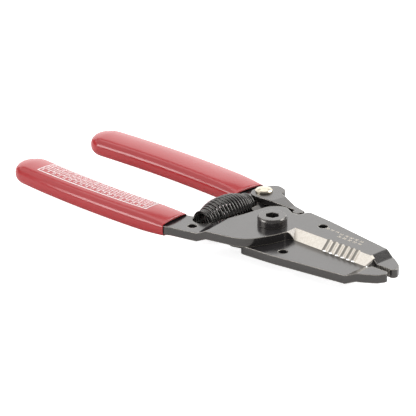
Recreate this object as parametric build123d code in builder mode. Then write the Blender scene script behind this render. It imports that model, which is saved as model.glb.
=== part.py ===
"""Wire stripper with stripping notches, flat nose, barrel spring and thumb lock.

The origin is on the pivot axis, on the lower face of the pivot nut.
+X points to the jaw tips, +Y to the far handle side and +Z up.
The tool is drawn as it lies on a table, open by a few degrees.
"""

import os
from math import asin, cos, degrees, pi, radians, sin, sqrt, tan

from build123d import *

os.makedirs("parts", exist_ok=True)

# Plates and their levels
plate = 3.2                 # thickness of both levers
slide_gap = 0.04            # between the two plates, so that they turn
nut_height = 4.4            # the nut lifts the lower plate by this much

# Pivot
pivot_d = 6.0               # shank of the pivot bolt
turn_clearance = 0.05       # radial, shank to lever and rivet to latch
head_gap = 0.05             # bolt head to lever and rivet head to latch
head_d = 10.9
head_height = 3.2
head_bevel = (0.9, 0.55)    # a steep facet over a flat one round the head
socket_flats = 4.7
socket_depth = 2.2
socket_turn = 13.8          # direction of one corner of the hexagon
nut_flats = 10.0
nut_chamfer = 0.5

# Jaws
throat_x = 8.8              # wall of the pivot boss, where the blade starts
blade_end_x = 44.8
edge_y = -0.35              # cutting edge, a little past the middle line
bevel_angle = 45.0
bevel_end_x = 46.5
throat_slope = 0.75         # the ground bevel leans back by this much per mm of height
recess = (46.7, 2.3)        # bottom of the gap between blade and nose
nose_root_x = 49.7          # where the flat nose starts
tip_x = 57.0
nose_y = 1.1                # inner face of the nose
nose_blunt = 2.1            # width of the blunt tip
nose_flank = [(1.3, 5.8), (6.6, 9.3)]    # corners of its outer side: distance from the tip, y
tooth_pitch = 0.8
tooth_depth = 0.35
tooth_count = 7
jaw_corner = (45.6, 11.1)
jaw_back = (14.0, 16.0)
shoulder_y = 17.1
plain_shoulder_x = 0.5      # shoulder of the lever without the hook's notch
hole_d = 3.6                # the two round holes of each lever
jaw_hole = (15.1, 10.6)
handle_hole = (-21.8, -18.95)

# Stripping notches, from the throat to the nose
notch_x = (25.3, 28.2, 31.1, 33.8, 36.4, 38.8)
notch_r = 1.3
notch_depth = 0.55

# Bends from the plate level down to the middle level
handle_bend = 15.9          # distance from the pivot to the first bend line
handle_bend_run = 3.9
handle_bend_turn = 190.0    # direction of the handle at the bend
nose_bend = 44.7
nose_bend_run = 4.1
nose_bend_turn = -2.0
bend_r = 1.2
strip = (12, 130, 60)       # a bent strip behind its origin, ahead of it and to each side
cut_height = 8.0            # taller than the plate and its bends
spare = 1.0                 # a cut runs past the solid by this much
jaw_sector = (60, 30)       # half of the wedge in which the other jaw turns
boss_swing_r = 16.3         # kept free for the other lever's pivot boss
blade_swing_r = 45.3        # kept free for the other lever's blade end

# Handles, bowed along one large arc
bow_r = 444.8
bow_centre = (-66.7, 423.5)
collar_x = -29.8            # where the grip ends beside the spring
end_x = -102.9              # centre of the round end
lead_in_x = -31.3           # where the handle starts to follow the arc
core_width = 13.0           # steel inside the grip

# Grips
grip_width = 15.0
grip_height = 8.1
grip_side_r = 3.3
grip_crown = 12.0           # slope of the crown beside its flat middle, in degrees
grip_wall = 0.85
cavity_roof = 8.4           # width of the flat roof over the steel, inside a grip

# Spring seat and spring
seat_x = (-26.8, -19.0)     # sides of the round-bottomed notch
seat_mouth_x = -18.2
seat_y = -12.1              # ledges that the spring's end turns rest on
seat_bottom_y = -15.7
wire_d = 1.0
spring_x = -23.4
spring_gap = 0.05           # between the spring's ends and the ledges
spring_end_r = 4.25
spring_mid_r = 6.45
end_turns = 3
end_pitch = 1.08
barrel_turns = 10
barrel_power = 2.4          # over 2, so that the barrel is full in its middle
points_per_turn = 10        # the coil is drawn in short straight runs
wire_sides = 6

# Lock latch and its rivet
latch_t = 2.2
latch_gap = 0.04            # latch to the handle under it
latch_drop = 0.7            # its head is bent down by this much
latch_end = (-21.2, 17.9)   # its round end sits a little off the rivet
latch_end_r = 4.45
latch_reach = 22.75         # rivet to the far side of the hook
hook_gap = 0.75             # far side of the hook to the wall of its notch
latch_bend = 8.8
latch_bend_run = 7.4
rivet_d = hole_d            # it fills the lever's hole
rivet_head_d = 6.4
rivet_dome = [(1.0, 0.55), (0.86, 0.95), (0.53, 1.35), (0.0, 1.5)]    # share of the head's radius, height
rivet_tail_d = 5.6
rivet_tail_height = 0.9
rivet_tail_bevel = (0.5, 0.6)

# Levels worked out from the sizes above
mid_z = nut_height + plate + slide_gap / 2
upper_top = mid_z + slide_gap / 2 + plate
upper_bottom = mid_z + slide_gap / 2
handle_top = mid_z + plate / 2
handle_bottom = mid_z - plate / 2
latch_bottom = handle_top + latch_gap
latch_top = latch_bottom + latch_t
flip = Axis((0, 0, mid_z), (1, 0, 0))
rivet_at = (handle_hole[0], -handle_hole[1])
hook_x = rivet_at[0] + latch_reach
notch_wall = hook_x + hook_gap


def bow_point(angle, offset=0.0):
    """A point on the handle's arc, or beside it towards the outside."""
    reach = bow_r + offset
    return (bow_centre[0] + reach * sin(angle), bow_centre[1] - reach * cos(angle))


def bow_angle(x):
    return asin((x - bow_centre[0]) / bow_r)


collar_angle = bow_angle(collar_x)
end_angle = bow_angle(end_x)
handle_arc_middle = bow_point((collar_angle + end_angle) / 2)


def bent_strip(start, run, drop, thickness, turn, top, origin=(0, 0)):
    """A wide strip at one level that steps down along the direction turn."""
    back, ahead, side = strip
    along = Vector(cos(radians(turn)), sin(radians(turn)), 0)
    plane = Plane(origin=(origin[0], origin[1], 0), x_dir=along, z_dir=along.cross(Vector(0, 0, 1)))
    with BuildPart() as bent:
        with BuildSketch(plane):
            with BuildLine():
                FilletPolyline(
                    (-back, top), (start, top), (start + run, top - drop), (ahead, top - drop),
                    (ahead, top - drop - thickness), (start + run, top - drop - thickness),
                    (start, top - thickness), (-back, top - thickness),
                    radius=[0, bend_r, bend_r, 0, 0, bend_r, bend_r, 0], close=True)
            make_face()
        extrude(amount=side, both=True)
    return bent.part


# The outline of a lever, counter-clockwise: x, y and the radius of each corner
core_half = core_width / 2
lead_in = bow_angle(lead_in_x)
hook_notch = [
    (notch_wall + 0.5, shoulder_y, 1.6),
    (notch_wall, 12.6, 1.6),
    (notch_wall - 3.5, 12.3, 0.5),
    (notch_wall - 7.9, 14.6, 1.0),
    (notch_wall - 10.7, 14.0, 4.0),
    (notch_wall - 13.7, 10.5, 5.0),
]
plain_shoulder = [
    (plain_shoulder_x, shoulder_y, 2.4),
    (plain_shoulder_x - 2.8, 13.4, 1.0),
    (plain_shoulder_x - 6.7, 14.6, 1.0),
    (plain_shoulder_x - 9.5, 14.0, 4.0),
    (plain_shoulder_x - 12.5, 10.5, 5.0),
]
jaw_side = [
    (throat_x, -3.2, 0.4),
    (throat_x, edge_y, 2.3),
    (blade_end_x, edge_y, 0.5),
    recess + (0.8,),
    (nose_root_x, nose_y, 0.3),
    (tip_x, nose_y, 1.7),
    (tip_x, nose_y + nose_blunt, 1.2),
    (tip_x - nose_flank[0][0], nose_flank[0][1], 4.0),
    (tip_x - nose_flank[1][0], nose_flank[1][1], 8.0),
    jaw_corner + (2.5,),
    jaw_back + (40.0,),
]
handle_side = [
    (-13.2, 0.0, 30.0),
    (-15.0, -8.4, 1.5),
    (seat_mouth_x, -8.0, 0.8),
    (seat_mouth_x, seat_y, 0.2),
    (seat_x[1], seat_y, 0.3),
    (seat_x[1], seat_bottom_y, 3.4),
    (seat_x[0], seat_bottom_y, 3.4),
    (seat_x[0], seat_y, 0.5),
    bow_point(lead_in, -core_half) + (0.0,),
    bow_point(lead_in, core_half) + (0.0,),
    (3.3, -18.1, 10.0),
    (7.7, -7.6, 20.0),
]


def lever_blank(shoulder):
    """The bent plate of one lever, before the jaws are cut."""
    corners = jaw_side + shoulder + handle_side
    step = (plate + slide_gap) / 2
    handle_strip = bent_strip(handle_bend, handle_bend_run, step, plate, handle_bend_turn, upper_top)
    nose_strip = bent_strip(nose_bend, nose_bend_run, step, plate, nose_bend_turn, upper_top)
    with BuildPart() as blank:
        with BuildSketch(Plane.XY.offset(mid_z - plate)):
            with BuildLine():
                FilletPolyline(*[(x, y) for x, y, r in corners], radius=[r for x, y, r in corners], close=True)
            make_face()
            with BuildLine(mode=Mode.PRIVATE) as core_line:
                ThreePointArc(bow_point(collar_angle), handle_arc_middle, bow_point(end_angle))
            SlotArc(core_line.line.edges()[0], core_width)
        extrude(amount=cut_height)
        add(handle_strip + nose_strip, mode=Mode.INTERSECT)
        # Room under the bends for the other lever's boss and blade end
        with BuildSketch(Plane.XY.offset(mid_z - plate)):
            with BuildLine():
                Polyline((0, 0), (jaw_sector[0], -jaw_sector[1]), jaw_sector, close=True)
            make_face()
            Circle(blade_swing_r, mode=Mode.INTERSECT)
            Circle(boss_swing_r)
        extrude(amount=upper_bottom - (mid_z - plate), mode=Mode.SUBTRACT)
    return blank.part


# The ground bevel and the notches of a blade
edge_run = Vector(0, cos(radians(bevel_angle)), sin(radians(bevel_angle)))
bevel_rise = plate + spare
bevel_back = edge_y + bevel_rise / sin(radians(bevel_angle)) * cos(radians(bevel_angle))

with BuildPart() as bevel_tool:
    # What the grinding wheel takes off above the cutting edge
    with BuildSketch(Plane.YZ.offset(throat_x)):
        with BuildLine():
            Polyline((edge_y, upper_bottom), (bevel_back, upper_bottom + bevel_rise),
                     (edge_y - bevel_rise, upper_bottom + bevel_rise), (edge_y - bevel_rise, upper_bottom),
                     close=True)
        make_face()
    extrude(amount=bevel_end_x - throat_x)
    with BuildSketch(Plane.XZ):
        with BuildLine():
            Polyline((throat_x + throat_slope * bevel_rise, upper_bottom - spare),
                     (throat_x - throat_slope * spare, upper_top + spare),
                     (throat_x - bevel_rise, upper_top + spare), (throat_x - bevel_rise, upper_bottom - spare),
                     close=True)
        make_face()
    extrude(amount=strip[2], both=True, mode=Mode.SUBTRACT)


def lever(shoulder):
    """One finished lever: plate, holes, teeth, bevel and stripping notches."""
    with BuildPart() as piece:
        add(lever_blank(shoulder))
        with BuildSketch(Plane.XY.offset(mid_z - plate)):
            Circle(pivot_d / 2 + turn_clearance)
            with Locations(jaw_hole, handle_hole):
                Circle(hole_d / 2)
            teeth = [(nose_root_x + (tooth + 0.5) * tooth_pitch, nose_y) for tooth in range(tooth_count)]
            with Locations(*teeth):
                Rectangle(tooth_depth * sqrt(2), tooth_depth * sqrt(2), rotation=45)
        extrude(amount=cut_height, mode=Mode.SUBTRACT)
        add(bevel_tool.part, mode=Mode.SUBTRACT)
        # The stripping notches run down the bevel
        with BuildSketch(Plane(origin=(0, edge_y, upper_bottom), x_dir=(1, 0, 0), z_dir=edge_run)):
            with Locations(*[(x, notch_depth - notch_r) for x in notch_x]):
                Circle(notch_r)
        extrude(amount=2 * plate, both=True, mode=Mode.SUBTRACT)
    return piece.part


# Upper lever: near handle, far jaw, with the notch that the latch hooks into
with BuildPart() as upper_lever:
    add(lever(hook_notch))

# Lower lever: the same stamping turned over, with a plain shoulder
with BuildPart() as lower_lever:
    add(lever(plain_shoulder).rotate(flip, 180))


def section_plane(angle):
    """Across the handle's arc, its x pointing away from the other handle."""
    x, y = bow_point(angle)
    return Plane(origin=(x, y, mid_z), x_dir=(sin(angle), -cos(angle), 0),
                 z_dir=(-cos(angle), -sin(angle), 0))


# Grips: hollow vinyl sleeves, closed by a round end
bow_axis = Axis((bow_centre[0], bow_centre[1], 0), (0, 0, -1))
end_axis = Axis(bow_point(end_angle) + (0,), (0, 0, 1))
bow_sweep = degrees(collar_angle - end_angle)

with BuildSketch(Plane.XY) as sleeve_section:
    with BuildLine():
        top = grip_height / 2
        x = grip_width / 2 - grip_side_r * (1 - sin(radians(grip_crown)))
        y = grip_side_r * cos(radians(grip_crown))
        flat = x - (top - y) / tan(radians(grip_crown))
        Polyline((-x, y), (-flat, top), (flat, top), (x, y))
        ThreePointArc((x, y), (grip_width / 2, 0), (x, -y))
        Polyline((x, -y), (flat, -top), (-flat, -top), (-x, -y))
        ThreePointArc((-x, -y), (-grip_width / 2, 0), (-x, y))
    make_face()

with BuildPart() as upper_grip:
    with BuildSketch(section_plane(end_angle)):
        add(sleeve_section.sketch)
        Rectangle(grip_width, grip_height, align=(Align.MIN, Align.CENTER), mode=Mode.INTERSECT)
    revolve(axis=end_axis)
    with BuildSketch(section_plane(collar_angle)):
        add(sleeve_section.sketch)
    revolve(axis=bow_axis, revolution_arc=bow_sweep)
    # The roof stands clear of the steel and slopes down to its two sides
    with BuildSketch(section_plane(collar_angle)):
        with BuildLine():
            roof = top - grip_wall
            Polyline((-core_half, plate / 2), (-cavity_roof / 2, roof), (cavity_roof / 2, roof),
                     (core_half, plate / 2), (core_half, -plate / 2), (cavity_roof / 2, -roof),
                     (-cavity_roof / 2, -roof), (-core_half, -plate / 2), close=True)
        make_face()
    revolve(axis=bow_axis, revolution_arc=bow_sweep, mode=Mode.SUBTRACT)
    add(upper_lever.part, mode=Mode.SUBTRACT)

with BuildPart() as lower_grip:
    add(upper_grip.part.rotate(flip, 180))

# Pivot bolt: button head with a hexagon socket
head_bottom = upper_top + head_gap
head_top = head_bottom + head_height
with BuildPart() as pivot_bolt:
    with BuildSketch(Plane.XZ):
        with BuildLine():
            Polyline((0, 0), (pivot_d / 2, 0), (pivot_d / 2, head_bottom), (head_d / 2, head_bottom),
                     (head_d / 2, head_top - head_bevel[0]),
                     (head_d / 2 - head_bevel[1] / 3, head_top - head_bevel[0] / 2),
                     (head_d / 2 - head_bevel[1], head_top), (0, head_top), close=True)
        make_face()
    revolve(axis=Axis.Z)
    with BuildSketch(Plane.XY.offset(head_top)):
        RegularPolygon(socket_flats / 2, 6, major_radius=False, rotation=socket_turn)
    extrude(amount=-socket_depth, mode=Mode.SUBTRACT)

# Lock nut under the lower lever
with BuildPart() as pivot_nut:
    with BuildSketch():
        RegularPolygon(nut_flats / 2, 6, major_radius=False)
        Circle(pivot_d / 2, mode=Mode.SUBTRACT)
    extrude(amount=nut_height)
    with BuildSketch(Plane.XZ):
        corner_r = nut_flats / sqrt(3)
        with BuildLine():
            Polyline((0, 0), (corner_r - nut_chamfer, 0), (corner_r, nut_chamfer),
                     (corner_r + spare, nut_height), (0, nut_height), close=True)
        make_face()
    revolve(axis=Axis.Z, mode=Mode.INTERSECT)


# Barrel spring between the handles
spring_half = -seat_y - spring_gap


def spring_point(turn):
    """Centre of the wire after so many turns from the near end."""
    total = 2 * end_turns + barrel_turns
    barrel_pitch = (2 * spring_half - wire_d - 2 * end_turns * end_pitch) / barrel_turns
    along = min(turn, total - turn)
    if along < end_turns:
        y = along * end_pitch
        r = spring_end_r
    else:
        y = end_turns * end_pitch + (along - end_turns) * barrel_pitch
        out = 1 - (along - end_turns) / (barrel_turns / 2)
        r = spring_mid_r - (spring_mid_r - spring_end_r) * out ** barrel_power
    y = -spring_half + wire_d / 2 + y
    if turn > total / 2:
        y = -y
    return (spring_x + r * cos(2 * pi * turn), y, mid_z + r * sin(2 * pi * turn))


with BuildPart() as return_spring:
    runs = points_per_turn * (2 * end_turns + barrel_turns)
    with BuildLine() as coil:
        Polyline(*[spring_point(step / points_per_turn) for step in range(runs + 1)])
    with BuildSketch(Plane(origin=coil.line @ 0, z_dir=coil.line % 0)):
        RegularPolygon(wire_d / 2, wire_sides)
    sweep(transition=Transition.RIGHT)

# Lock latch, flat on the lower lever's handle with its head bent down
neck_turn = -10.8           # direction of the latch's neck
latch_corners = [
    (latch_end[0] + 0.5, 13.45, 0.0),
    (hook_x - 10.75, 14.5, 8.0),
    (hook_x - 6.55, 15.15, 0.8),
    (hook_x - 3.45, 15.1, 0.5),
    (hook_x - 3.45, 13.6, 0.5),
    (hook_x - 2.45, 13.0, 0.4),
    (hook_x + 2.05, 13.0, 0.0),
    (hook_x + 2.05, 15.9, 0.0),
    (hook_x - 5.85, 17.75, 2.0),
    (-15.7, 21.9, 0.8),
    (-16.9, 25.6, 2.0),
    (-22.2, 27.0, 3.0),
    (-25.4, 22.0, 2.0),
]
with BuildPart() as lock_latch:
    with BuildSketch(Plane.XY.offset(latch_bottom - latch_drop)):
        with BuildLine():
            FilletPolyline(*[(x, y) for x, y, r in latch_corners],
                           radius=[r for x, y, r in latch_corners], close=True)
        make_face()
        with Locations(latch_end):
            Circle(latch_end_r)
        with Locations(rivet_at):
            Circle(latch_reach, mode=Mode.INTERSECT)
            Circle(rivet_d / 2 + turn_clearance, mode=Mode.SUBTRACT)
    extrude(amount=latch_t + latch_drop)
    add(bent_strip(latch_bend, latch_bend_run, latch_drop, latch_t, neck_turn, latch_top, rivet_at),
        mode=Mode.INTERSECT)

# Latch rivet: domed head above, spread tail below
rivet_bottom = handle_bottom - rivet_tail_height
rivet_rim = latch_top + head_gap
with BuildPart() as latch_rivet:
    with BuildSketch(Plane(origin=rivet_at + (0,), x_dir=(1, 0, 0), z_dir=(0, -1, 0))):
        with BuildLine():
            Polyline((0, rivet_bottom), (rivet_tail_d / 2 - rivet_tail_bevel[0], rivet_bottom),
                     (rivet_tail_d / 2, rivet_bottom + rivet_tail_bevel[1]), (rivet_tail_d / 2, handle_bottom),
                     (rivet_d / 2, handle_bottom), (rivet_d / 2, rivet_rim), (rivet_head_d / 2, rivet_rim),
                     *[(share * rivet_head_d / 2, rivet_rim + height) for share, height in rivet_dome],
                     close=True)
        make_face()
    revolve(axis=Axis(rivet_at + (0,), (0, 0, 1)))

pieces = {
    "upper_lever": upper_lever, "lower_lever": lower_lever, "pivot_bolt": pivot_bolt,
    "pivot_nut": pivot_nut, "return_spring": return_spring, "lock_latch": lock_latch,
    "latch_rivet": latch_rivet, "upper_grip": upper_grip, "lower_grip": lower_grip,
}
for name, piece in pieces.items():
    piece.part.label = name
    export_step(piece.part, f"parts/{name}.step")
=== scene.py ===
# %% [markdown]
# A wire stripper on a white table
#
# The tool is two stamped steel levers on a bolt, pushed open by a barrel spring
# and held shut by a small latch, with vinyl sleeves on the handles. The solids
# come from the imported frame, in metres. This lesson gives each of them the finish
# of the real one, and models what a solid can't hold: the sleeves' soft form, the
# round spring wire, the printed table and the etched marks.

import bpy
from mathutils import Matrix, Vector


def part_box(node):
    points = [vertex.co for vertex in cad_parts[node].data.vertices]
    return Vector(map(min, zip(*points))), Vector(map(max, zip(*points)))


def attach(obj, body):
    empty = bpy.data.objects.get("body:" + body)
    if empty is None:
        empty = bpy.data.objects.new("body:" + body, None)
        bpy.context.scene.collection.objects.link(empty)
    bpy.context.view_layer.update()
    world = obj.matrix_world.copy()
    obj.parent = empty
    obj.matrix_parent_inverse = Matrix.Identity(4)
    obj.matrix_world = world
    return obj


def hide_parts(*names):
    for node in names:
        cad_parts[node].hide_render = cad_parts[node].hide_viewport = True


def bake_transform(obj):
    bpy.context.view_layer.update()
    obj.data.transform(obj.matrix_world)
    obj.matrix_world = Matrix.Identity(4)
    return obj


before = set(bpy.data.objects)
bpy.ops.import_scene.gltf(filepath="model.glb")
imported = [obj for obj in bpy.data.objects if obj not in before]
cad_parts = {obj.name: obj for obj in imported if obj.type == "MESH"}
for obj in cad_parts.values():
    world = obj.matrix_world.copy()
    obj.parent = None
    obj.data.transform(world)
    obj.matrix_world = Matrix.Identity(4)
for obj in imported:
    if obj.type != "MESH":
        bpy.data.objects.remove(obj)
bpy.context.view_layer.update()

# %% Helpers for sizes and colours
from math import asin, ceil, cos, pi, radians, sin, sqrt

import bmesh
import bpy
from mathutils import Vector

MM = 0.001


def linear(hex_colour):
    """An sRGB hex colour as the linear RGBA that Blender's sockets take."""
    channels = [int(hex_colour[i:i + 2], 16) / 255 for i in (1, 3, 5)]
    return [c / 12.92 if c <= 0.04045 else ((c + 0.055) / 1.055) ** 2.4 for c in channels] + [1.0]


# %% [markdown]
# The camera
#
# The photograph was taken with a long lens from about 1.3 m, a little above the
# tool and from its front right. A long lens keeps the far handle nearly as large
# as the near one. The camera looks at a point between the grips and the jaws.

# %% Camera
scene = bpy.context.scene
view_azimuth = radians(43.82)
view_elevation = radians(22.73)
view_distance = 1.3228
look_at = Vector((-32.01, -0.11, 7.6)) * MM
view_from = Vector((sin(view_azimuth) * cos(view_elevation),
                    -cos(view_azimuth) * cos(view_elevation),
                    sin(view_elevation)))

camera_data = bpy.data.cameras.new("camera")
camera_data.sensor_width = 36.0
camera_data.lens = 312.5
camera_data.clip_end = 20.0
camera = bpy.data.objects.new("camera", camera_data)
scene.collection.objects.link(camera)
camera.location = look_at + view_distance * view_from
camera.rotation_euler = (look_at - camera.location).to_track_quat("-Z", "Y").to_euler()
scene.camera = camera
print("camera at", [round(x, 2) for x in camera.location])

# %% [markdown]
# Light
#
# Product pictures of black steel need something bright to reflect. A wide soft
# lamp stands low behind the tool, so that every face that looks up mirrors it,
# and the walls, which mirror the table, stay dark. Lamps overhead and at the back
# right put glints on rounded edges and on the spring. One high on the left lights
# the ground bevel, and one low at the front left draws the soft streak along the
# sides of the grips.

# %% Lamps
scene.view_settings.view_transform = "Standard"
lamp_aim = Vector((-0.035, 0.0, 0.0))    # middle of the tool


def soft_lamp(name, direction, distance, size, power):
    """An area lamp that lights the middle of the tool from a direction."""
    data = bpy.data.lights.new(name, "AREA")
    data.shape = "RECTANGLE"
    data.size, data.size_y = size
    data.energy = power
    lamp = bpy.data.objects.new(name, data)
    lamp.location = lamp_aim + Vector(direction).normalized() * distance
    lamp.rotation_euler = (lamp_aim - lamp.location).to_track_quat("-Z", "Y").to_euler()
    scene.collection.objects.link(lamp)
    print(name, "at", [round(x, 2) for x in lamp.location])


soft_lamp("back_lamp", (-0.64, 0.67, 0.33), 1.0, (1.6, 0.7), 5.2)
soft_lamp("back_right_lamp", (0.35, 0.66, 0.6), 1.1, (0.9, 0.45), 8.0)
soft_lamp("top_lamp", (-0.35, 0.3, 0.9), 1.1, (1.0, 0.6), 3.0)
soft_lamp("left_lamp", (-0.64, -0.39, 0.67), 1.2, (1.2, 0.8), 2.7)
soft_lamp("streak_lamp", (-0.48, -0.83, 0.27), 1.2, (0.72, 0.36), 5.6)

# %% [markdown]
# Fill light
#
# The world adds plain fill from all sides, and the camera sees it white. Its
# shader is a small tree of nodes, and so is each finish below. One helper makes
# all these trees: it adds a node, sets it up and joins its inputs.

# %% World
def add_node(tree, kind, inputs=None, **settings):
    """Adds a node. An input takes a value, a socket, or a node for its first output."""
    node = tree.nodes.new(kind)
    for name, value in settings.items():
        setattr(node, name, value)
    for socket, value in (inputs or {}).items():
        if isinstance(value, bpy.types.Node):
            value = value.outputs[0]
        if isinstance(value, bpy.types.NodeSocket):
            tree.links.new(value, node.inputs[socket])
        else:
            node.inputs[socket].default_value = value
    return node


fill_strength = 0.34
world = bpy.data.worlds.new("studio")
scene.world = world
world.use_nodes = True
sky = world.node_tree
sky.nodes.clear()
ray = add_node(sky, "ShaderNodeLightPath")
seen = add_node(sky, "ShaderNodeMath", {
    0: ray.outputs["Is Camera Ray"], 1: ray.outputs["Is Transmission Ray"]}, operation="MAXIMUM")
strength = add_node(sky, "ShaderNodeMapRange", {"Value": seen, "To Min": fill_strength, "To Max": 1.0})
light = add_node(sky, "ShaderNodeBackground", {"Color": linear("#ffffff"), "Strength": strength})
add_node(sky, "ShaderNodeOutputWorld", {"Surface": light})
print("fill of the world:", fill_strength)

# %% [markdown]
# Table
#
# The table is white paper. To the camera it also glows a little, which lifts it
# to almost pure white and leaves a faint shadow, and the tool doesn't see the
# glow, so it is lit by the paper as it would be by a real sheet.

# %% White paper
table_size = 6.0
glow_strength = 0.8
bpy.ops.mesh.primitive_plane_add(size=table_size)
table = bpy.context.object
table.name = "table"
paper = bpy.data.materials.new("white_paper")
paper.use_nodes = True
tree = paper.node_tree
tree.nodes.clear()
matt = add_node(tree, "ShaderNodeBsdfDiffuse", {"Color": linear("#f4f4f4")})
glow = add_node(tree, "ShaderNodeEmission", {"Color": linear("#ffffff"), "Strength": glow_strength})
both = add_node(tree, "ShaderNodeAddShader", {0: matt, 1: glow})
ray = add_node(tree, "ShaderNodeLightPath")
pick = add_node(tree, "ShaderNodeMixShader", {0: ray.outputs["Is Camera Ray"], 1: matt, 2: both})
add_node(tree, "ShaderNodeOutputMaterial", {"Surface": pick})
table.data.materials.append(paper)
print("table is", table_size, "m wide")

# %% [markdown]
# Where things are
#
# The sizes that the finishes need come from the frame. Both levers are the same
# stamping, one of them turned over about the long axis of the tool, so a place on
# either is told by its height from the middle level and its distance across,
# both counted towards the side that the lever's plate lies on.

# %% Levels from the frame
grip_low, grip_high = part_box("upper_grip")
plate_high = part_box("upper_lever")[1]
middle_z = (grip_low[2] + grip_high[2]) / 2
plate_top = plate_high[2] - middle_z
print("middle level", round(middle_z / MM, 2), "mm")
print("plate top", round(plate_top / MM, 2), "mm above it")

# %% [markdown]
# Black oxide steel
#
# The levers and the latch are stamped from tool steel, ground flat and blackened
# in a hot salt bath. The bath leaves a thin glossy oxide that is black by itself
# and shows mostly what it mirrors, so a face that looks up is grey and a wall is
# nearly black. A smooth shader with a raised IOR does that better than a grey
# colour. Grinding leaves a fine grain and the bath leaves faint stains. Along the
# edges a light line is painted into the colour: partly the oxide rubbed thin to
# bare steel, partly a painted highlight where the small rounded edges mirror the lamps.

# %% Material helpers
def new_material(name):
    """An empty material, its node tree and a place on the object for patterns."""
    material = bpy.data.materials.new(name)
    material.use_nodes = True
    tree = material.node_tree
    tree.nodes.clear()
    print("made", name)
    return material, tree, add_node(tree, "ShaderNodeTexCoord").outputs["Object"]


def dress(material, *node_names):
    """Gives CAD nodes another material."""
    for name in node_names:
        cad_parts[name].material_slots[0].material = material


def per_size(size_mm):
    """The scale of a pattern whose features are so many millimetres apart."""
    return 1 / (size_mm * MM)


print("a pattern of 1 mm has scale", per_size(1.0))


# %% Black oxide finish
stain_mm = 5.0
gloss_spread = 0.08                      # how much duller the oxide gets in its grain
oxide_tint = linear("#fffaf4")


def blackened(name, dark, light, rough, grain_mm, edge_mm, edge_wear_and_highlight_tone, ior):
    """Steel under black oxide: stained, grained, and light along its edges, as worn oxide and a
    painted highlight.

    Its grain is coarser than a real one, which is too fine to show.
    """
    material, tree, place = new_material(name)
    grain = add_node(tree, "ShaderNodeTexNoise", {
        "Vector": place, "Scale": per_size(grain_mm), "Detail": 3.0})
    stain = add_node(tree, "ShaderNodeTexNoise", {
        "Vector": place, "Scale": per_size(stain_mm), "Detail": 6.0, "Roughness": 0.7})
    tone = add_node(tree, "ShaderNodeMix", {0: stain, 6: linear(dark), 7: linear(light)},
                    data_type="RGBA")
    # Rounded normals differ from the flat ones only near an edge. The light edge colour,
    # partly rubbed oxide and partly a painted highlight, starts where they are 6 degrees
    # apart and is full at 23.
    rounded = add_node(tree, "ShaderNodeBevel", {"Radius": edge_mm * MM}, samples=6)
    flat = add_node(tree, "ShaderNodeNewGeometry").outputs["True Normal"]
    same = add_node(tree, "ShaderNodeVectorMath", {0: rounded, 1: flat}, operation="DOT_PRODUCT")
    edge = add_node(tree, "ShaderNodeMapRange", {
        "Value": same.outputs["Value"], "From Min": 0.995, "From Max": 0.92, "To Max": 1.2})
    # The edges are painted light here: the rubbed oxide's bare steel and a painted highlight together.
    wear_and_highlight = add_node(tree, "ShaderNodeMath", {0: edge, 1: stain}, operation="MULTIPLY")
    worn_and_highlit = add_node(tree, "ShaderNodeMix", {0: wear_and_highlight, 6: tone.outputs[2], 7: linear(edge_wear_and_highlight_tone)},
                    data_type="RGBA")
    gloss = add_node(tree, "ShaderNodeMapRange", {
        "Value": grain, "To Min": rough, "To Max": rough + gloss_spread})
    bump = add_node(tree, "ShaderNodeBump", {
        "Height": grain, "Strength": 0.12, "Distance": 0.02 * MM, "Normal": rounded})
    steel = add_node(tree, "ShaderNodeBsdfPrincipled", {
        "Base Color": worn_and_highlit.outputs[2], "Roughness": gloss, "Normal": bump, "IOR": ior,
        "Specular Tint": oxide_tint})
    add_node(tree, "ShaderNodeOutputMaterial", {"Surface": steel}).name = "end"
    return material, tree, steel, place


black_oxide, tree, oxide, place = blackened(
    "black_oxide_steel", "#171618", "#323031", 0.13, 0.15, 0.45, "#d8d0c4", 1.8)
dress(black_oxide, "upper_lever", "lower_lever")

# %% [markdown]
# The ground bevel
#
# After blackening, the blades are sharpened on a wheel, so the bevel and the
# notches that run down it are bare bright steel. They belong to the lever's own
# mesh, so a mask finds them by place. On the bevel, height and distance across
# grow together, so their difference, called lift here, is the same all over it,
# and grows less only in the notches. The bevel starts at an end wall by the
# pivot, which leans back as it rises.

# %% Place on a lever
xyz = add_node(tree, "ShaderNodeSeparateXYZ", {"Vector": place})
level = add_node(tree, "ShaderNodeMath", {0: xyz.outputs["Z"], 1: middle_z}, operation="SUBTRACT")
side = add_node(tree, "ShaderNodeMath", {0: level}, operation="SIGN")
height = add_node(tree, "ShaderNodeMath", {0: level}, operation="ABSOLUTE")
across = add_node(tree, "ShaderNodeMath", {0: xyz.outputs["Y"], 1: side}, operation="MULTIPLY")
lift = add_node(tree, "ShaderNodeMath", {0: height, 1: across}, operation="SUBTRACT")

slide_gap = 0.04                         # between the two plates
edge_across = -0.35                      # cutting edge, past the middle line
notch_depth = 0.55
throat_x, throat_slope, bevel_end_x = 8.8, 0.75, 46.5
bevel_lift = slide_gap / 2 - edge_across
notch_fall = notch_depth * sqrt(2)
lean = add_node(tree, "ShaderNodeMath", {0: height, 1: throat_slope, 2: xyz.outputs["X"]},
                operation="MULTIPLY_ADD")
lean_start = throat_x * MM + throat_slope * plate_top
print("bevel lift", round(bevel_lift, 2), "mm, notches fall", round(notch_fall, 2), "mm")

# %% Mask of the ground faces
band_margin = 0.05                       # the masks reach past a face by this much
wall_margin = 0.06
face_margin = 0.03                       # and stay clear of the plate's two faces by this
graze = 0.12                             # the wheel only grazes the end wall

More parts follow.
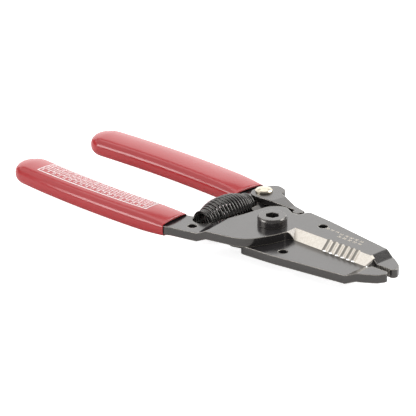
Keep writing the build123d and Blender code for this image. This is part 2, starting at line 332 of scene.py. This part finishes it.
on_bevel = add_node(tree, "ShaderNodeMath", {
    0: lift, 1: (bevel_lift - notch_fall / 2) * MM, 2: (notch_fall / 2 + band_margin) * MM},
    operation="COMPARE")
over_bevel = add_node(tree, "ShaderNodeMath", {0: lift, 1: bevel_lift * MM}, operation="GREATER_THAN")
past_throat = add_node(tree, "ShaderNodeMath", {0: lean, 1: lean_start}, operation="GREATER_THAN")
on_throat = add_node(tree, "ShaderNodeMath", {0: lean, 1: lean_start, 2: wall_margin * MM},
                     operation="COMPARE")
slope = add_node(tree, "ShaderNodeMath", {0: on_bevel, 1: past_throat}, operation="MULTIPLY")
wall = add_node(tree, "ShaderNodeMath", {0: on_throat, 1: over_bevel}, operation="MULTIPLY")
grazed = add_node(tree, "ShaderNodeMath", {0: wall, 1: graze}, operation="MULTIPLY")
ground = add_node(tree, "ShaderNodeMath", {0: slope, 1: grazed}, operation="MAXIMUM")

below_top = add_node(tree, "ShaderNodeMath", {0: height, 1: plate_top - face_margin * MM},
                     operation="LESS_THAN")
above_bottom = add_node(tree, "ShaderNodeMath", {0: height, 1: (slide_gap / 2 + face_margin) * MM},
                        operation="GREATER_THAN")
before_end = add_node(tree, "ShaderNodeMath", {0: xyz.outputs["X"], 1: bevel_end_x * MM},
                      operation="LESS_THAN")
limits = (below_top, above_bottom, before_end)
for limit in limits:
    ground = add_node(tree, "ShaderNodeMath", {0: ground, 1: limit}, operation="MULTIPLY")
print("the mask has", len(limits), "limits")

# %% [markdown]
# The finish itself is bare steel. The wheel leaves fine lines that run up the
# slope, side by side along the blade, so their noise varies along the blade only.
# A fine speckle of two near whites stands for the cleaned metal's mottle.

# %% Bare steel
wheel_mm = 0.3                           # coarser than real lines, so that they show
speckle_mm = 0.6
along = add_node(tree, "ShaderNodeCombineXYZ", {"X": xyz.outputs["X"]})
lines = add_node(tree, "ShaderNodeTexNoise", {
    "Vector": along, "Scale": per_size(wheel_mm), "Detail": 2.0})
line_gloss = add_node(tree, "ShaderNodeMapRange", {"Value": lines, "To Min": 0.2, "To Max": 0.42})
line_bump = add_node(tree, "ShaderNodeBump", {
    "Height": lines, "Strength": 0.25, "Distance": 0.02 * MM})
speckle = add_node(tree, "ShaderNodeTexNoise", {
    "Vector": place, "Scale": per_size(speckle_mm), "Detail": 3.0})
bright = add_node(tree, "ShaderNodeMix", {0: speckle, 6: linear("#c8bfb2"), 7: linear("#f4efe7")},
                  data_type="RGBA")
bare = add_node(tree, "ShaderNodeBsdfPrincipled", {
    "Base Color": bright.outputs[2], "Metallic": 1.0, "Roughness": line_gloss,
    "Normal": line_bump})
finish = add_node(tree, "ShaderNodeMixShader", {0: ground, 1: oxide, 2: bare})
tree.links.new(finish.outputs[0], tree.nodes["end"].inputs["Surface"])
print("wheel lines every", wheel_mm, "mm")

# %% [markdown]
# Latch, bolt, nut and spring
#
# They are blackened too, but each was made in its own way. The latch is punched
# and tumbled, so its skin is softer. The bolt and the nut are forged and only
# cleaned, a little greyer. The spring wire is drawn and oiled, smooth and the
# blackest of all.

# %% Other black pieces
latch_black = blackened(
    "tumbled_oxide_steel", "#211f20", "#2f2c2c", 0.2, 0.2, 0.45, "#c4bcb1", 1.8)[0]
bolt_black = blackened(
    "forged_oxide_steel", "#232122", "#302c2d", 0.2, 0.25, 0.35, "#b5aea3", 1.9)[0]
wire_black = blackened(
    "drawn_spring_wire", "#08080a", "#0d0d0f", 0.1, 1.2, 0.05, "#3a3733", 1.75)[0]
dress(latch_black, "lock_latch")
dress(bolt_black, "pivot_bolt", "pivot_nut")
dress(wire_black, "return_spring")

# %% [markdown]
# The rivet
#
# Nickel plate over brass: a warm, bright metal with a soft shine. A metal in
# Blender is the metallic shader with the plating's own colour. The tumbling
# before plating leaves small dents that break up the reflection a little.

# %% Bright nickel
dent_mm = 0.8
nickel, tree, place = new_material("bright_nickel")
dents = add_node(tree, "ShaderNodeTexNoise", {
    "Vector": place, "Scale": per_size(dent_mm), "Detail": 2.0})
soft = add_node(tree, "ShaderNodeMapRange", {"Value": dents, "To Min": 0.16, "To Max": 0.3})
bump = add_node(tree, "ShaderNodeBump", {"Height": dents, "Strength": 0.2, "Distance": 0.03 * MM})
skin = add_node(tree, "ShaderNodeBsdfPrincipled", {
    "Base Color": linear("#cbc2b0"), "Metallic": 1.0, "Roughness": soft, "Normal": bump})
add_node(tree, "ShaderNodeOutputMaterial", {"Surface": skin})
dress(nickel, "latch_rivet")

# %% [markdown]
# Red vinyl
#
# The sleeves are plasticised PVC, dipped hot over the handle. The skin is glossy
# and a little uneven, like orange peel, and its red is slightly cloudy. The IOR
# of PVC is 1.54. The cloudiness is a slow drift between two close reds.

# %% Red vinyl finish
cloud_mm, peel_mm = 9.0, 1.6
red_vinyl, tree, place = new_material("dipped_red_vinyl")
cloud = add_node(tree, "ShaderNodeTexNoise", {
    "Vector": place, "Scale": per_size(cloud_mm), "Detail": 3.0})
peel = add_node(tree, "ShaderNodeTexNoise", {
    "Vector": place, "Scale": per_size(peel_mm), "Detail": 2.0})
red = add_node(tree, "ShaderNodeMix", {0: cloud, 6: linear("#ac262b"), 7: linear("#b53033")},
               data_type="RGBA")
gloss = add_node(tree, "ShaderNodeMapRange", {"Value": peel, "To Min": 0.15, "To Max": 0.21})
bump = add_node(tree, "ShaderNodeBump", {"Height": peel, "Strength": 0.06, "Distance": 0.03 * MM})
skin = add_node(tree, "ShaderNodeBsdfPrincipled", {
    "Base Color": red.outputs[2], "Roughness": gloss, "Normal": bump, "IOR": 1.54})
add_node(tree, "ShaderNodeOutputMaterial", {"Surface": skin})
dress(red_vinyl, "upper_grip", "lower_grip")

# %% [markdown]
# The sleeves
#
# A dipped sleeve is a flat tube with a low crown and round shoulders. Towards its
# mouth it shrinks onto the steel, and the roof stands clear of it as a low dark
# arch. The best way to build it is a loft: one outline with four sizes, placed
# along the bow of the handle while the sizes change. The round end is the same
# half outline turned about an upright axis.

# %% Outline of a sleeve
crown_steps, corner_steps = 9, 8


def outline(width, rise, straight, corner_r):
    """A closed ring, from the top middle round the outer side and back.

    Its sizes are half the width, half the height, the height of the shoulder's
    centre over the middle, and the shoulder's radius. The crown is an arc that
    runs smoothly into the shoulders.
    """
    arch = rise - straight
    crown_r = (arch ** 2 - corner_r ** 2 + (width - corner_r) ** 2) / (2 * (arch - corner_r))
    turn = asin((width - corner_r) / (crown_r - corner_r))
    quarter = []
    for step in range(crown_steps):
        a = turn * step / crown_steps
        quarter.append((crown_r * sin(a), rise - crown_r + crown_r * cos(a)))
    for step in range(corner_steps + 1):
        a = turn + (pi / 2 - turn) * step / corner_steps
        quarter.append((width - corner_r + corner_r * sin(a), straight + corner_r * cos(a)))
    outer = quarter + [(u, -w) for u, w in reversed(quarter)]
    return outer + [(-u, w) for u, w in reversed(outer[1:-1])]


half_height = (grip_high[2] - grip_low[2]) / 2 / MM
body = (7.5, half_height, 0.3, 3.35)
mouth = (7.1, 3.05, 0.7, 1.8)
print("an outline has", len(outline(*body)), "points")

# %% Bow of a handle
bow_r = 444.8
bow_centre = (-66.7, 423.5)
mouth_x, end_x = -29.8, -102.9


def bow_angle(x):
    """Where on the bow its middle line has a place along the tool."""
    return asin((x - bow_centre[0]) / bow_r)


def bow_place(angle, out, up, hand):
    """A point beside the bow of the near handle, or of the far one where hand is -1."""
    return Vector((bow_centre[0] + (bow_r + out) * sin(angle),
                   hand * (bow_centre[1] - (bow_r + out) * cos(angle)),
                   up + middle_z / MM)) * MM


mouth_angle, end_angle = bow_angle(mouth_x), bow_angle(end_x)
length = (mouth_angle - end_angle) * bow_r
print("a sleeve is lofted over", round(length, 1), "mm")

# %% [markdown]
# The loft starts inside the mouth, comes out over a rolled rim and runs along the
# handle. Each station is a distance from the mouth and the sizes there. The
# stations are close together near the mouth, where the form changes.

# %% Stations of the loft
settle = 14.0                            # length over which the mouth grows into the body
inside = [(8.0, (6.56, 2.4, 1.62, 0.3)), (3.0, (6.56, 2.22, 1.62, 0.3)),
          (0.6, (6.56, 2.12, 1.62, 0.3))]
rim = [(0.2, (6.6, 2.16, 1.62, 0.34)), (0.0, (6.74, 2.36, 1.6, 0.5)),
       (0.0, (6.9, 2.72, 1.2, 1.1)), (0.2, (7.05, 2.97, 0.9, 1.6))]
mouth_runs = [0.5, 1.2, 2.4, 4.0, 6.0, 8.5, 11.0, settle]
body_steps = 30


def sleeve_sizes(run):
    """Sizes of the outline at a distance from the mouth."""
    share = min(run / settle, 1.0)
    share = share * (2 - share)
    return tuple(a + (b - a) * share for a, b in zip(mouth, body))


stations = inside + rim + [(run, sleeve_sizes(run)) for run in mouth_runs]
stations += [(settle + (length - settle) * step / body_steps, body)
             for step in range(1, body_steps + 1)]
print("the loft has", len(stations), "stations")

# %% Meshes to objects
def make_object(name, mesh, material, smooth):
    """Turns finished mesh data into an object of the scene."""
    data = bpy.data.meshes.new(name)
    mesh.to_mesh(data)
    mesh.free()
    for face in data.polygons:
        face.use_smooth = smooth
    data.materials.append(material)
    piece = bpy.data.objects.new(name, data)
    scene.collection.objects.link(piece)
    print(name, "has", len(data.polygons), "faces")
    return piece


# %% Round end of a sleeve
end_steps = 18


def close_end(mesh, last, hand):
    """Turns the outer half of the last ring about an upright axis."""
    half = len(last) // 2
    sides = outline(*body)[1:half]
    axis = bow_place(end_angle, 0, 0, hand)
    outwards = bow_place(end_angle, 1, 0, hand) - axis
    backwards = Vector((-cos(end_angle), -hand * sin(end_angle), 0)) * MM
    fans = [last[1:half]]
    for step in range(1, end_steps):
        a = pi * step / end_steps
        ray = outwards * cos(a) + backwards * sin(a)
        fans.append([mesh.verts.new(axis + ray * u + Vector((0, 0, w * MM))) for u, w in sides])
    fans.append(list(reversed(last[half + 1:])))
    top, bottom = last[0], last[half]
    for near, far in zip(fans, fans[1:]):
        mesh.faces.new((top, near[0], far[0]))
        mesh.faces.new((bottom, far[-1], near[-1]))
        for i in range(len(near) - 1):
            mesh.faces.new((near[i], near[i + 1], far[i + 1], far[i]))


print("the round end turns in", end_steps, "steps")


# %% Both sleeves
def build_sleeve(name, cad_node, cad_body, hand):
    """Lofts one sleeve, which stands for the plain one of the frame."""
    mesh = bmesh.new()
    rings = []
    for run, sizes in stations:
        angle = mouth_angle - run / bow_r
        rings.append([mesh.verts.new(bow_place(angle, u, w, hand)) for u, w in outline(*sizes)])
    for near, far in zip(rings, rings[1:]):
        for i, vertex in enumerate(near):
            j = (i + 1) % len(near)
            mesh.faces.new((vertex, near[j], far[j], far[i]))
    mesh.faces.new(rings[0])
    close_end(mesh, rings[-1], hand)
    bmesh.ops.recalc_face_normals(mesh, faces=mesh.faces)
    piece = make_object(name, mesh, red_vinyl, True)
    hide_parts(cad_node)
    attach(piece, cad_body)


build_sleeve("near_sleeve", "upper_grip", "upper", 1)
build_sleeve("far_sleeve", "lower_grip", "lower", -1)

# %% [markdown]
# The spring
#
# A barrel spring is wound with close end turns and a wider middle, and its ends
# are ground flat. The solid has six-sided wire in fewer turns. Here the same
# barrel gets the real one's close turns, round wire and flat ends. A curve with
# a round bevel would give the wire but not its ground ends, so rings of points
# are joined instead. The spring joins the two handles.

# %% Line of the spring wire
spring_x = -23.4
spring_half = 12.05
wire_d = 1.0
end_r, middle_r = 4.25, 6.45
barrel_half = 9.8                        # beyond it the turns keep the end radius
barrel_power = 2.4
ground_off = 0.7                         # what grinding takes off each end
end_turns, end_pitch = 4, 1.06
barrel_turns = 11
total_turns = 2 * end_turns + barrel_turns


def spring_place(turn):
    """Centre of the wire after so many turns from the near end."""
    start = spring_half - wire_d / 2 + ground_off
    barrel_pitch = 2 * (start - end_turns * end_pitch) / barrel_turns
    run = min(turn, total_turns - turn)
    y = min(run, end_turns) * end_pitch + max(run - end_turns, 0) * barrel_pitch - start
    if turn > total_turns / 2:
        y = -y
    fullness = max(0, 1 - (abs(y) / barrel_half) ** barrel_power)
    r = end_r + (middle_r - end_r) * fullness
    a = 2 * pi * turn
    return Vector((spring_x + r * cos(a), y, middle_z / MM + r * sin(a))) * MM


steps_per_turn = 40
steps = steps_per_turn * total_turns
points = [spring_place(i / steps_per_turn) for i in range(steps + 1)]
wire_length = sum((b - a).length for a, b in zip(points, points[1:]))
print("spring wire is", round(wire_length / MM), "mm long in", total_turns, "turns")

# %% Round wire
wire_sides = 12
mesh = bmesh.new()
rings = []
for i, point in enumerate(points):
    onward = points[min(i + 1, steps)] - points[max(i - 1, 0)]
    outward = point - Vector((spring_x * MM, point.y, middle_z))
    beside = onward.cross(outward).normalized()
    outward = beside.cross(onward).normalized()
    rings.append([mesh.verts.new(point + (outward * cos(b) + beside * sin(b)) * wire_d / 2 * MM)
                  for b in [2 * pi * k / wire_sides for k in range(wire_sides)]])
for near, far in zip(rings, rings[1:]):
    for k in range(wire_sides):
        n = (k + 1) % wire_sides
        mesh.faces.new((near[k], near[n], far[n], far[k]))
mesh.faces.new(rings[0])
mesh.faces.new(rings[-1])
# Grinding flattens whatever stands past the ends
for vertex in mesh.verts:
    vertex.co.y = max(-spring_half * MM, min(spring_half * MM, vertex.co.y))
bmesh.ops.recalc_face_normals(mesh, faces=mesh.faces)
spring = make_object("barrel_spring", mesh, wire_black, True)
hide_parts("return_spring")
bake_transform(spring)

# %% [markdown]
# The printed table
#
# A size table is pad-printed on the near grip in white ink: a frame, three rows
# and plain numbers. An image on the sleeve would blur close up. The ink is a
# thin skin on the crown, so the table is drawn flat, as bars and numbers, and
# each point is then laid on the sleeve. The numbers are generic.

# %% White ink
ink_mm = 0.7
white_ink, tree, place = new_material("white_pad_print")
thin = add_node(tree, "ShaderNodeTexNoise", {
    "Vector": place, "Scale": per_size(ink_mm), "Detail": 3.0})
ink = add_node(tree, "ShaderNodeMix", {0: thin, 6: linear("#ffffff"), 7: linear("#f3dede")},
               data_type="RGBA")
skin = add_node(tree, "ShaderNodeBsdfPrincipled", {"Base Color": ink.outputs[2], "Roughness": 0.4})
add_node(tree, "ShaderNodeOutputMaterial", {"Surface": skin})

# %% Bars and numbers
longest, widest = 2.0, 1.0               # a bar's pieces, short enough to bend
bleed = 0.012                            # how far ink or acid spreads, as a share of a number's size


def bar(shapes, x0, y0, x1, y1):
    """A rectangle between two corners, cut into short lengths so that it can bend."""
    cuts = max(1, ceil(abs(x1 - x0) / longest)), max(1, ceil(abs(y1 - y0) / widest))
    for i in range(cuts[0]):
        for j in range(cuts[1]):
            a, b = [x0 + (x1 - x0) * k / cuts[0] for k in (i, i + 1)]
            c, d = [y0 + (y1 - y0) * k / cuts[1] for k in (j, j + 1)]
            shapes.append([(a, c), (b, c), (b, d), (a, d)])


def number(shapes, value, x, y, size):
    """A plain number with its middle at a place."""
    curve = bpy.data.curves.new("number", "FONT")
    curve.body = str(value)
    curve.size = size
    curve.align_x = "CENTER"
    curve.align_y = "CENTER"
    curve.resolution_u = 3
    curve.offset = bleed * size
    holder = bpy.data.objects.new("number", curve)
    flat = bpy.data.meshes.new_from_object(holder)
    for face in flat.polygons:
        corners = [flat.vertices[v].co for v in face.vertices]
        shapes.append([(x + corner.x, y + corner.y) for corner in corners])
    bpy.data.objects.remove(holder)
    bpy.data.curves.remove(curve)
    bpy.data.meshes.remove(flat)


print("bars are cut every", longest, "mm along and", widest, "mm across")


# %% Laying a drawing on a surface
weld = 0.002                             # joins the corners that bars and numbers share


def lay(name, shapes, lay_point, material, cad_body):
    """Turns flat shapes into one thin piece on the surface that lay_point gives."""
    mesh = bmesh.new()
    for shape in shapes:
        mesh.faces.new([mesh.verts.new(lay_point(x, y)) for x, y in shape])
    bmesh.ops.remove_doubles(mesh, verts=mesh.verts, dist=weld * MM)
    piece = make_object(name, mesh, material, False)
    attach(piece, cad_body)


print("corners within", weld, "mm are joined")


# %% Surface of the near sleeve
table_start, table_end = 11.4, 67.4      # distance from the sleeve's mouth
table_out, table_slant = 3.75, 1.1       # near edge beside the bow at the end, and its drift
ink_height = 0.03
crown = outline(*body)[:crown_steps + corner_steps]
long = table_end - table_start


def crown_height(out):
    """Height of the sleeve's roof at a distance from its middle line."""
    out = abs(out)
    for (u0, w0), (u1, w1) in zip(crown, crown[1:]):
        if out <= u1:
            return w0 + (w1 - w0) * (out - u0) / (u1 - u0)
    return crown[-1][1]


def on_sleeve(x, y):
    """x runs from the table's end to its start, y from its near edge to its far one."""
    run = table_end - x
    out = table_out - table_slant * x / long - y
    return bow_place(mouth_angle - run / bow_r, out, crown_height(out) + ink_height, 1)


print("the table is", round(long, 1), "mm long")

# %% Size table
table_width = 8.0
frame_line, cell_line = 0.42, 0.3
columns = 19
rules = [0.0, 2.5, 5.0, table_width]
number_rows = [(1.45, 1.8, 8, 1), (3.9, 1.5, 30, -1), (6.7, 2.3, 10, 1)]   # middle, size, first, step

shapes = []
for y in rules:
    bar(shapes, 0.0, y, long, y + (frame_line if y in (rules[0], rules[-1]) else cell_line))
for column in range(columns + 1):
    x = (long - frame_line) * column / columns
    if column in (0, columns):
        bar(shapes, x, 0.0, x + frame_line, table_width + frame_line)
    else:
        bar(shapes, x, rules[1], x + cell_line, rules[2])
for column in range(columns):
    x = (long - frame_line) * (column + 0.5) / columns + cell_line / 2
    for y, size, first, step in number_rows:
        number(shapes, first + step * column, x, y, size)
lay("size_table", shapes, on_sleeve, white_ink, "upper")

# %% [markdown]
# Etched numbers
#
# Wire sizes are etched beside the notches. Etching only roughens the oxide, so
# the numbers are lighter than the plate where it is dark, and easy to miss where
# it mirrors the lamp. They are a thin piece just over the plate, drawn with the
# same helpers as the table, because they then stay sharp close up.

# %% Etched mark finish
grit_mm = 0.2                            # coarser than real, so that it shows
etched, tree, place = new_material("etched_oxide")
grit = add_node(tree, "ShaderNodeTexNoise", {
    "Vector": place, "Scale": per_size(grit_mm), "Detail": 2.0})
tone = add_node(tree, "ShaderNodeMix", {0: grit, 6: linear("#c9bdab"), 7: linear("#efe5d4")},
                data_type="RGBA")
skin = add_node(tree, "ShaderNodeBsdfPrincipled", {"Base Color": tone.outputs[2], "Roughness": 0.55})
add_node(tree, "ShaderNodeOutputMaterial", {"Surface": skin})

# %% Numbers on the far jaw
etch_pitch, etch_size, etch_height = 2.4, 1.6, 0.015
etched_rows = [(17.5, 10.2, range(10, 15, 2)), (24.8, 9.6, range(16, 25, 2)),
               (25.6, 7.6, range(26, 35, 2))]                 # start, y, wire sizes


def on_plate(x, y):
    """A point just over the upper lever's plate."""
    return Vector((x * MM, y * MM, plate_high[2] + etch_height * MM))


shapes = []
for start, y, wire_sizes in etched_rows:
    for order, wire_size in enumerate(wire_sizes):
        number(shapes, wire_size, start + etch_pitch * order, y, etch_size)
lay("etched_numbers", shapes, on_plate, etched, "upper")
